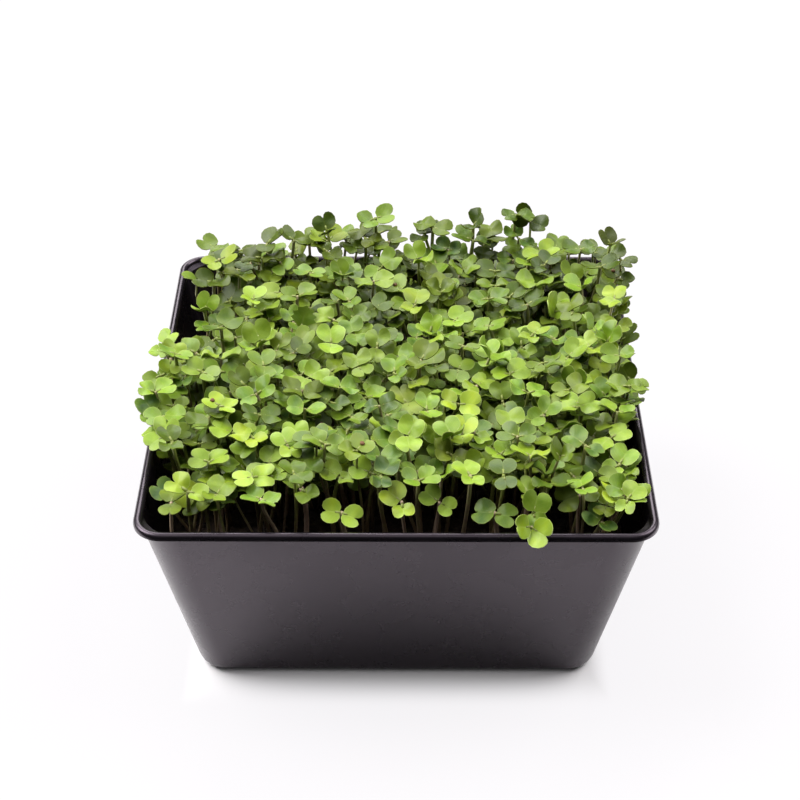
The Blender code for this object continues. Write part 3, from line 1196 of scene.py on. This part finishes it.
def stem_tree(plan, settings):
    """The stem as a search tree, with a plain three-sided skin."""
    path = stem_path(plan)
    corners = []
    faces = []
    for stack in range(STEM_STACKS + 1):
        middle = bezier(path, stack / STEM_STACKS)
        for side in range(SEARCH_RING):
            angle = side * 2 * math.pi / SEARCH_RING
            way = Vector((math.cos(angle), math.sin(angle), 0))
            corners.append(middle + way * settings.stem_radius)
        if stack:
            below = SEARCH_RING * (stack - 1)
            for side in range(SEARCH_RING):
                here, there = below + side, below + (side + 1) % SEARCH_RING
                faces.append((here, there, there + SEARCH_RING, here + SEARCH_RING))
    return BVHTree.FromPolygons(corners, faces)


def spread_foot(chance, plan):
    """Set the foot near its clump's middle, but spread as sown seeds are."""
    column, row, middle = plan["clump"]
    aim = Vector((plan["top"].x - middle.x, plan["top"].y - middle.y, 0))
    aim *= min(1.0, FEET_SPREAD / max(aim.length, FEET_SPREAD))
    aim.x += chance.uniform(-FOOT_JITTER, FOOT_JITTER)
    aim.y += chance.uniform(-FOOT_JITTER, FOOT_JITTER)
    room = inside_section(SOIL_TOP)[0] - FOOT_TO_WALL
    foot = middle + aim
    foot.x = min(max(foot.x, -room), room)
    foot.y = min(max(foot.y, -room), room)
    foot.z = SOIL_TOP - STEM_SINK
    plan["foot"] = foot


def between_corners(x):
    """From nought at the tray's corners to one along the middle of the front."""
    return clipped((CORNERS_FROM - abs(x)) / CORNERS_OVER)


def canopy_edge(x, y):
    """How far inside the canopy's outline a place is, in metres, below nought outside."""
    left = CANOPY_LEFT + BACK_LEFT_OPENING * clipped(y / BACK_LEFT_OVER)
    opening = FRONT_LEFT_OPENING if x < 0 else FRONT_RIGHT_OPENING
    opening *= clipped((FRONT_SIDES_FROM - y) / FRONT_SIDES_OVER)
    front = CANOPY_FRONT + FRONT_OPENING * between_corners(x)
    return min(x - left - opening, CANOPY_RIGHT - opening - x, y - front, CANOPY_BACK - y)


def behind_front(y):
    """From nought in the stand's middle to one behind the front rim."""
    return clipped((FRONT_FROM - y) / FRONT_OVER)


def in_front_gap(x, y):
    """From nought to one where the stand is bare below its leaves, behind the front rim."""
    return behind_front(y) * between_corners(x)


def turn_level(plan):
    """Turn a pair of leaves part of the way back to level."""
    upright = Matrix.Rotation(plan["turn"], 3, "Z").to_quaternion()
    turned = plan["place"].to_quaternion().slerp(upright, LEVELLING)
    plan["place"] = Matrix.Translation(plan["top"]) @ turned.to_matrix().to_4x4()


def raise_front(plan):
    """Lift the leaves along the front rim, where the stems show under them."""
    share = in_front_gap(plan["top"].x, plan["top"].y)
    rise = Vector((0, FRONT_SETBACK * share, FRONT_RISE * share))
    plan["size"] *= 1 + FRONT_GROWTH * share
    plan["top"] = plan["top"] + rise
    plan["place"] = Matrix.Translation(rise) @ plan["place"]


def draw_front_seedling(chance, stand, number):
    """One of the loose row along the front, counted from the left."""
    share = number / (FRONT_ROW - 1)
    x = FRONT_ROW_REACH * (2 * share - 1) + chance.uniform(-FRONT_ROW_JITTER, FRONT_ROW_JITTER)
    y = FRONT_ROW_Y + chance.uniform(-FRONT_ROW_JITTER, FRONT_ROW_JITTER)
    top = Vector((x, y, canopy_height(y) + chance.uniform(*FRONT_ROW_RISES)))
    plan = draw_plan(chance, nearest_clump(stand, x, y), top, chance.uniform(0, math.pi),
                     chance.uniform(*FRONT_ROW_LEANS), STRAY_TILT)
    spread_foot(chance, plan)
    dress_plan(chance, plan)
    # Painted light: the front row's high pallor stands partly for light on these stems, partly for
    # their own pale colour
    plan["pallor"] = chance.uniform(*FRONT_ROW_PALLORS_AND_LIGHT)
    plan["girth"] *= FRONT_ROW_GIRTH
    return plan


def draw_lower_pair(chance, sprig):
    """A second seedling that hangs over the rim, beside and below the first."""
    top = sprig["top"] + LOWER_PAIR_STEP
    turn = LOWER_PAIR_TURN + chance.uniform(*LOWER_PAIR_TURNS)
    plan = draw_plan(chance, sprig["clump"], top, turn, LOWER_PAIR_LEAN, STRAY_TILT)
    spread_foot(chance, plan)
    dress_plan(chance, plan)
    plan["pallor"] = 1.0
    plan["hue"] = LOWER_PAIR_HUE
    for blade in plan["blades"]:
        blade["scale"] *= LOWER_PAIR_GROWTH
    return plan


def draw_neighbour(chance, stray):
    """A lower seedling close to one of the strays at the back."""
    step = (chance.uniform(*NEIGHBOURS_ACROSS), chance.uniform(*NEIGHBOURS_ALONG),
            -chance.uniform(*NEIGHBOURS_BELOW))
    top = stray["top"] + Vector(step)
    plan = draw_plan(chance, stray["clump"], top, chance.uniform(0, math.pi), FILLER_LEAN,
                     FILLER_TILT)
    spread_foot(chance, plan)
    dress_plan(chance, plan)
    return plan


def draw_filler(chance, stand):
    """One more seedling of the canopy, or none if its place is outside or thinned out."""
    x = chance.uniform(*FILLERS_ACROSS)
    y = chance.uniform(*FILLERS_ALONG)
    edge = canopy_edge(x, y)
    if edge < 0 or chance.random() < FRONT_THINNING * behind_front(y):
        return None
    top = Vector((x, y, 0))
    deepest, highest = FILLER_DEPTHS
    deepest *= 1 - FRONT_SHALLOWING * behind_front(y)
    top.z = canopy_height(y) + chance.uniform(deepest, highest)
    top.z += CANOPY_WAVES * noise.noise(Vector((x, y, WAVES_SLICE)) * WAVES_A_METRE)
    if edge < EDGE_WIDTH:
        top.z -= chance.uniform(*EDGE_DROPS)
    top.z -= BACK_DROP * clipped((y - BACK_DROP_FROM) / BACK_DROP_OVER)
    nearest = nearest_clump(stand, x, y)
    plan = draw_plan(chance, nearest, top, chance.uniform(0, math.pi), FILLER_LEAN, FILLER_TILT)
    raise_front(plan)
    spread_foot(chance, plan)
    dress_plan(chance, plan, TOOTHED_SHARE)
    return plan


def stands_clear(plan, everyone, tray_tree, mind_stems):
    """Whether a seedling's leaves and stem miss the tray and the others' leaves."""
    leaves = plan["leaf_tree"]
    stem = plan["stem_tree"]
    if leaves.overlap(tray_tree) or stem.overlap(tray_tree):
        return False
    for other in everyone:
        if (other["top"] - plan["top"]).xy.length > FILLER_REACH:
            continue
        if leaves.overlap(other["leaf_tree"]):
            return False
        if mind_stems and (leaves.overlap(other["stem_tree"]) or stem.overlap(other["leaf_tree"])):
            return False
    return True


def grow_trees(plan, flats, settings):
    """Keep the plan's search trees with it, since every later seedling asks for them."""
    plan["leaf_tree"] = blade_tree(plan, flats, settings)
    plan["stem_tree"] = stem_tree(plan, settings)


def plan_fillers(chance, plans, tray_tree, flats, settings):
    """Fill the canopy between the source's seedlings, leaf clear of leaf."""
    stand = clumps()
    back_strays = [stray for stray in plans[:len(STRAYS)] if stray["top"].y > BACK_DROP_FROM]
    draws = [partial(draw_lower_pair, chance, plans[OVERHANGING_STRAY])]
    for stray in back_strays:
        draws += [partial(draw_neighbour, chance, stray)] * NEIGHBOURS
    draws += [partial(draw_front_seedling, chance, stand, number) for number in range(FRONT_ROW)]
    draws += [partial(draw_filler, chance, stand)] * settings.fillers
    for plan in plans:
        grow_trees(plan, flats, settings)
    everyone = list(plans)
    for draw in draws:
        for attempt in range(FILLER_TRIES):
            plan = draw()
            if plan is None:
                continue
            grow_trees(plan, flats, settings)
            if stands_clear(plan, everyone, tray_tree, attempt < STEM_MINDING_TRIES):
                everyone.append(plan)
                break
    return everyone


def copy_of(template, points, tint):
    """A copy of one of a seedling's parts, with its points and its tint set."""
    copy = copy_of_mesh(template, template.name)
    set_points(copy.data, points)
    data = copy.data.attributes["tint"].data
    colours = np.empty(len(data) * 4, np.float32)
    data.foreach_get("color", colours)
    colours = colours.reshape(-1, 4)
    colours[:, :3] = tint
    data.foreach_set("color", colours.ravel())
    return copy


def make_sprout(plan, models, settings):
    """Every copy that makes one seedling: stem, two stalks and two blades."""
    hue, shade, blush = plan["hue"], plan["shade"], plan["blush"]
    girth = settings.stem_radius * plan["girth"]
    bent = follow(models["stem_points"], stem_path(plan), (girth * STEM_FLARE, girth))
    copies = [copy_of(models["stem"], bent, (hue, shade, plan["pallor"]))]
    top = plan["top"]
    inside_stem = top - plan["place"].to_3x3() @ Vector((0, 0, PETIOLE_UNDER_TOP))
    for number, blade in enumerate(plan["blades"]):
        place = blade_place(plan, number)
        under_blade = (PETIOLE_UNDER_BLADE * blade["scale"], 0, -settings.leaf_thickness * 0.5)
        end_of_stalk = place @ Vector(under_blade)
        out = (place.to_3x3() @ Vector((1, 0, 0))) * (blade["petiole"] * PETIOLE_BEND)
        path = (inside_stem, top + out * 0.5, end_of_stalk - out * 0.5, end_of_stalk)
        bent = follow(models["stalk_points"], path, (girth * PETIOLE_FOOT, PETIOLE_WIDTH))
        copies.append(copy_of(models["stalk"], bent, (hue, shade, 0.0)))
        outline = blade["outline"]
        bent = bend_blade(models["blade_points"][outline], blade, settings)
        tint = (clipped(hue + blade["tint"]), shade, blush)
        copies.append(copy_of(models["blades"][outline], placed_points(bent, place), tint))
    if plan["coated"]:
        copies.append(make_coat(plan, models, settings))
    return copies


def make_coat(plan, models, settings):
    """The split brown coat of the seed, stuck on the first leaf."""
    blade = plan["blades"][0]
    middle = blade["scale"] * settings.leaf_length * BLADE_HEART_ALONG
    place = blade_place(plan, 0) @ Matrix.Translation((middle, 0, COAT_SIZE[2] * COAT_SEAT))
    points = placed_points(models["coat_points"] * COAT_SIZE, place)
    return copy_of(models["coat"], points, PLAIN_TINT)


def vein_pattern(tree, along, across):
    """The midrib, which fades toward the lobes, and the veins slanting off it."""
    off_rib = math_node(tree, "ABSOLUTE", across)
    rib = map_range(tree, off_rib, *RIB_EDGE, 1.0, 0.0)
    rib = times(tree, rib, map_range(tree, along, *RIB_FADING, 1.0, RIB_AT_LOBES))
    slant = math_node(tree, "SUBTRACT", along, times(tree, off_rib, VEIN_SLANT))
    wave = math_node(tree, "SINE", times(tree, slant, VEIN_WAVES))
    side_vein = times(tree, map_range(tree, wave, *VEIN_EDGE), SIDE_VEINS)
    return math_node(tree, "MAXIMUM", rib, side_vein)


def leaf_material(settings):
    """Soft matte seed leaves: green from blue to yellow, pale veins and pale rims; the rims and the
    paler lobes are painted highlights, and each leaf's shade value paints light and shade, with a
    bluish sheen on the lighter leaves.
    """
    material, tree, shader = new_material("seed_leaf", settings.mid_green, roughness=0.44)
    tint = add_node(tree, "ShaderNodeAttribute", attribute_name="tint")
    parts = add_node(tree, "ShaderNodeSeparateColor", {"Color": tint.outputs["Color"]})
    hue, shade, blush = parts.outputs[:3]
    place = add_node(tree, "ShaderNodeTexCoord")
    soft = noise_node(tree, place.outputs["Object"], scale=260.0, detail=3.0)
    mottle = map_range(tree, soft, *NOISE_RANGE, *HUE_MOTTLE)
    hue = math_node(tree, "ADD", hue, mottle, clamp=True)
    ramp = add_node(tree, "ShaderNodeValToRGB", {"Fac": hue})
    greens = (settings.shaded_green, settings.mid_green, settings.fresh_green,
              settings.young_green)
    stops = ramp.color_ramp.elements
    for share in GREEN_STOPS:
        stops.new(share)
    for stop, green in zip(stops, greens):
        stop.color = opaque(green)
    chart = add_node(tree, "ShaderNodeSeparateXYZ", {"Vector": place.outputs["UV"]})
    along, across = chart.outputs["X"], chart.outputs["Y"]
    veins = vein_pattern(tree, along, across)
    rim = map_range(tree, tint.outputs["Alpha"], *LEAF_RIM_EDGE)
    colour = ramp.outputs["Color"]
    # Pale veins, a darker stalk end, the painted highlights of paler lobes and a pale rim, and the
    # blush
    for share, other in (
            (times(tree, veins, VEINS_SHOWN), VEIN_AND_RIM_HIGHLIGHT_GREEN),
            (map_range(tree, along, *STALK_END, STALK_SHOWN, 0.0), STALK_GREEN),
            (map_range(tree, along, *LOBE_END, 0.0, LOBE_HIGHLIGHT_SHOWN), LOBE_HIGHLIGHT_GREEN),
            (times(tree, rim, LEAF_RIM_HIGHLIGHT), VEIN_AND_RIM_HIGHLIGHT_GREEN),
            (blush, LEAF_BLUSH)):
        colour = mix_colours(tree, share, colour, other)
    # Painted light and shade: the shade value makes a leaf lighter or darker, and gives the lighter
    # leaves a paler, bluer cast as a painted sheen
    light = map_range(tree, shade, 0.0, 1.0, *PAINTED_LEAF_LIGHT)
    painted_sheen = map_range(tree, shade, 0.0, 1.0, *PAINTED_LEAF_SHEEN)
    painted_lighting = add_node(tree, "ShaderNodeCombineColor", {0: light, 1: light, 2: painted_sheen})
    colour = mix_colours(tree, 1.0, colour, painted_lighting.outputs["Color"], "MULTIPLY")
    tree.links.new(colour, shader.inputs["Base Color"])
    fine = noise_node(tree, place.outputs["Object"], scale=1800.0)
    height = math_node(tree, "SUBTRACT", times(tree, fine, 0.5), veins)
    bump(tree, shader, height, strength=0.35, distance=0.00012)
    shader.inputs["Specular IOR Level"].default_value = 0.36
    shader.inputs["Subsurface Weight"].default_value = 0.15
    shader.inputs["Subsurface Radius"].default_value = (1.0, 1.0, 0.35)
    shader.inputs["Subsurface Scale"].default_value = 0.0006
    return material


def stem_material(settings):
    """Stems: dusky pink at the foot to pale green under the leaves, some of them pale, those along
    the front partly as painted light.
    """
    material, tree, shader = new_material("stem", settings.stem_top, roughness=0.42)
    tint = add_node(tree, "ShaderNodeAttribute", attribute_name="tint")
    streaks = noise_node(tree, object_place(tree), scale=700.0)
    streaked = map_range(tree, streaks, *NOISE_RANGE, *STEM_STREAKS)
    rise = math_node(tree, "ADD", tint.outputs["Alpha"], streaked, clamp=True)
    share = map_range(tree, rise, *STEM_GREENING)
    colour = mix_colours(tree, share, opaque(settings.stem_foot), opaque(settings.stem_top))
    parts = add_node(tree, "ShaderNodeSeparateColor", {"Color": tint.outputs["Color"]})
    # Pale stems: their own pale colour, and along the front row partly painted light
    colour = mix_colours(tree, parts.outputs["Blue"], colour, PALE_AND_LIT_STEM)
    tree.links.new(colour, shader.inputs["Base Color"])
    bump(tree, shader, streaks, strength=0.2, distance=0.0001)
    return material


def coat_material():
    """The dull brown skin of a spent seed."""
    material, tree, shader = new_material("seed_coat", COAT_BROWN, roughness=0.6)
    patches = noise_node(tree, object_place(tree), scale=900.0)
    colour = mix_colours(tree, patches, COAT_DARK, COAT_PALE)
    tree.links.new(colour, shader.inputs["Base Color"])
    bump(tree, shader, patches, strength=0.4, distance=0.0002)
    return material


def model_coat():
    """A seed coat of radius one, split open at one side."""
    obj = begin("coat", bpy.ops.mesh.primitive_ico_sphere_add, subdivisions=2, radius=1.0)
    end(obj)
    for vert in obj.data.vertices:
        if vert.co.x > COAT_SPLIT:
            vert.co.x = 2 * COAT_SPLIT - vert.co.x
    obj.data.attributes.new("tint", "FLOAT_COLOR", "POINT")
    obj.data.materials.append(coat_material())
    return obj


def model_parts(settings):
    """The blades, stem, stalk and seed coat that every seedling is copied from."""
    leaf = leaf_material(settings)
    stem_skin = stem_material(settings)
    blades = {}
    flats = {}
    points = {}
    for name, outline in OUTLINES.items():
        flat = model_blade(f"flat_{name}", outline, settings)
        flat.data.materials.append(leaf)
        polygons = [tuple(polygon.vertices) for polygon in flat.data.polygons]
        flats[name] = (get_points(flat.data), polygons)
        blades[name] = give_thickness(flat, name, settings)
        points[name] = get_points(blades[name].data)
        discard([flat])
    stem = model_tube("stem", STEM_RING, STEM_STACKS, 0.0)
    stalk = model_tube("stalk", PETIOLE_RING, PETIOLE_STACKS, PETIOLE_RIPENESS)
    for tube in (stem, stalk):
        tube.data.materials.append(stem_skin)
    coat = model_coat()
    return {
        "coat": coat,
        "coat_points": get_points(coat.data),
        "blades": blades,
        "blade_points": points,
        "flats": flats,
        "stem": stem,
        "stem_points": get_points(stem.data),
        "stalk": stalk,
        "stalk_points": get_points(stalk.data),
    }


def make_greens(settings):
    """The source's seedlings made finer, and the rest of the canopy, clump by clump."""
    tray = loft(tray_sections(ROUND_STEPS, RIM_ROUND, RIM_DROP))
    tray_tree = BVHTree.FromBMesh(tray)
    tray.free()
    models = model_parts(settings)
    plans = plan_source_seedlings(tray_tree)
    chance = random.Random(settings.seed)
    for plan in plans[len(STRAYS):]:
        turn_level(plan)
        raise_front(plan)
    for plan in plans:
        spread_foot(chance, plan)
    for plan in plans:
        dress_plan(chance, plan)
    everyone = plan_fillers(chance, plans, tray_tree, models["flats"], settings)
    for number, clump in enumerate(clumps(), 1):
        copies = []
        for plan in everyone:
            if plan["clump"] == clump:
                copies += make_sprout(plan, models, settings)
        piece = join(copies, f"sprouts_{number:02d}")
        stand_for(piece, f"seedlings_{number:02d}")
    discard([*models["blades"].values(), models["stem"], models["stalk"], models["coat"]])


# The studio

def make_floor(settings):
    """A pale floor, which the camera alone sees whiter beyond the tray's foot."""
    obj = begin("floor", bpy.ops.mesh.primitive_plane_add, size=settings.floor_size,
                location=(0, settings.floor_size / 2 - settings.floor_front, 0))
    bpy.ops.mesh.subdivide(number_cuts=3)
    end(obj)
    material, tree, shader = new_material("pale_floor", settings.floor, roughness=0.75)
    place = object_place(tree)
    cloud = noise_node(tree, place, scale=1.5)
    colour = mix_colours(
        tree, cloud, opaque(settings.floor), opaque(settings.floor, CLOUD_DIMMING))
    tree.links.new(colour, shader.inputs["Base Color"])
    shader.inputs["Specular IOR Level"].default_value = 0.2
    parts = add_node(tree, "ShaderNodeSeparateXYZ", {"Vector": place})
    # Painted light: for camera rays the floor glows white beyond the tray's foot, which washes out
    # its shadows there
    washes = []
    for axis, reach in (("X", WASH_BESIDE), ("Y", WASH_AHEAD)):
        away = math_node(tree, "ABSOLUTE", parts.outputs[axis])
        near, far = (BASE_WIDTH / 2 + step for step in reach)
        washes.append(map_range(tree, away, near, far, 0.0, WASH_SHARE))
    washed = math_node(tree, "MAXIMUM", *washes)
    rays = add_node(tree, "ShaderNodeLightPath")
    washed = times(tree, washed, rays.outputs["Is Camera Ray"])
    glow = add_node(tree, "ShaderNodeEmission", {"Color": WASH_WHITE})
    seen = add_node(tree, "ShaderNodeMixShader", {
        0: washed, 1: shader.outputs["BSDF"], 2: glow.outputs["Emission"]})
    tree.links.new(seen.outputs[0], tree.nodes["Material Output"].inputs["Surface"])
    obj.data.materials.append(material)


def add_wide_light(name, toward, spread, strength):
    """A soft light from far off, in the direction toward, spread over an angle."""
    bpy.ops.object.light_add(type="SUN", location=toward)
    lamp = bpy.context.object
    lamp.name = name
    lamp.data.energy = strength
    lamp.data.angle = math.radians(spread)
    lamp.data.color = LIGHT_WHITE
    lamp.rotation_euler = (-Vector(toward)).to_track_quat("-Z", "Y").to_euler()


def make_lights(settings):
    """A white room that is seen brighter than it shines, and four wide lights."""
    world = bpy.data.worlds.new("pale_room")
    bpy.context.scene.world = world
    world.use_nodes = True
    tree = world.node_tree
    glow = tree.nodes["Background"]
    glow.inputs["Color"].default_value = ROOM_WHITE
    rays = add_node(tree, "ShaderNodeLightPath")
    seen = map_range(tree, rays.outputs["Is Camera Ray"], 0.0, 1.0, settings.sky, 1.0)
    tree.links.new(seen, glow.inputs["Strength"])
    for name, (toward, spread) in LIGHTS.items():
        add_wide_light(name, toward, spread, getattr(settings, name))


def make_camera(settings):
    bpy.ops.object.camera_add(
        location=(CAMERA_SIDESTEP, -settings.camera_distance, settings.camera_height),
        rotation=(settings.camera_tilt, 0.0, CAMERA_TURN))
    camera = bpy.context.object
    camera.name = "camera"
    camera.data.lens = settings.lens
    camera.data.sensor_width = SENSOR_WIDTH
    camera.data.clip_start = NEAREST_SEEN
    bpy.context.scene.camera = camera


class MICROGREENS_OT_tray(bpy.types.Operator):
    """Make the moulded black tray in place of the plain one"""
    bl_idname = "microgreens.tray"
    bl_label = "Make Tray"

    def execute(self, context):
        make_tray(context.scene.microgreens_tray)
        return {"FINISHED"}


class MICROGREENS_OT_soil(bpy.types.Operator):
    """Make the crumbly potting mix in place of the plain block"""
    bl_idname = "microgreens.soil"
    bl_label = "Make Potting Mix"

    def execute(self, context):
        make_soil(context.scene.microgreens_soil)
        return {"FINISHED"}


class MICROGREENS_OT_greens(bpy.types.Operator):
    """Make the stand of seedlings in place of the plain clumps"""
    bl_idname = "microgreens.greens"
    bl_label = "Make Seedlings"

    def execute(self, context):
        make_greens(context.scene.microgreens_greens)
        return {"FINISHED"}


class MICROGREENS_OT_studio(bpy.types.Operator):
    """Make the pale floor, the soft lights and the camera"""
    bl_idname = "microgreens.studio"
    bl_label = "Make Studio"

    def execute(self, context):
        settings = context.scene.microgreens_studio
        make_floor(settings)
        make_lights(settings)
        make_camera(settings)
        context.scene.view_settings.view_transform = "Standard"
        return {"FINISHED"}


class MICROGREENS_PT_panel(bpy.types.Panel):
    """The tray's settings and the buttons that make each piece"""
    bl_label = "Microgreens Tray"
    bl_idname = "MICROGREENS_PT_panel"
    bl_space_type = "VIEW_3D"
    bl_region_type = "UI"
    bl_category = "Microgreens"

    def draw(self, context):
        for operator, group, name in SECTIONS:
            box = self.layout.box()
            for setting in group.__annotations__:
                box.prop(getattr(context.scene, name), setting)
            box.operator(operator.bl_idname)


SECTIONS = (
    (MICROGREENS_OT_tray, TraySettings, "microgreens_tray"),
    (MICROGREENS_OT_soil, SoilSettings, "microgreens_soil"),
    (MICROGREENS_OT_greens, GreensSettings, "microgreens_greens"),
    (MICROGREENS_OT_studio, StudioSettings, "microgreens_studio"),
)


def register():
    for operator, group, name in SECTIONS:
        bpy.utils.register_class(group)
        setattr(bpy.types.Scene, name, PointerProperty(type=group))
        bpy.utils.register_class(operator)
    bpy.utils.register_class(MICROGREENS_PT_panel)


def unregister():
    bpy.utils.unregister_class(MICROGREENS_PT_panel)
    for operator, group, name in reversed(SECTIONS):
        bpy.utils.unregister_class(operator)
        delattr(bpy.types.Scene, name)
        bpy.utils.unregister_class(group)


def main():
    register()
    bpy.ops.microgreens.tray()
    bpy.ops.microgreens.soil()
    bpy.ops.microgreens.greens()
    bpy.ops.microgreens.studio()


if __name__ == "__main__":
    main()
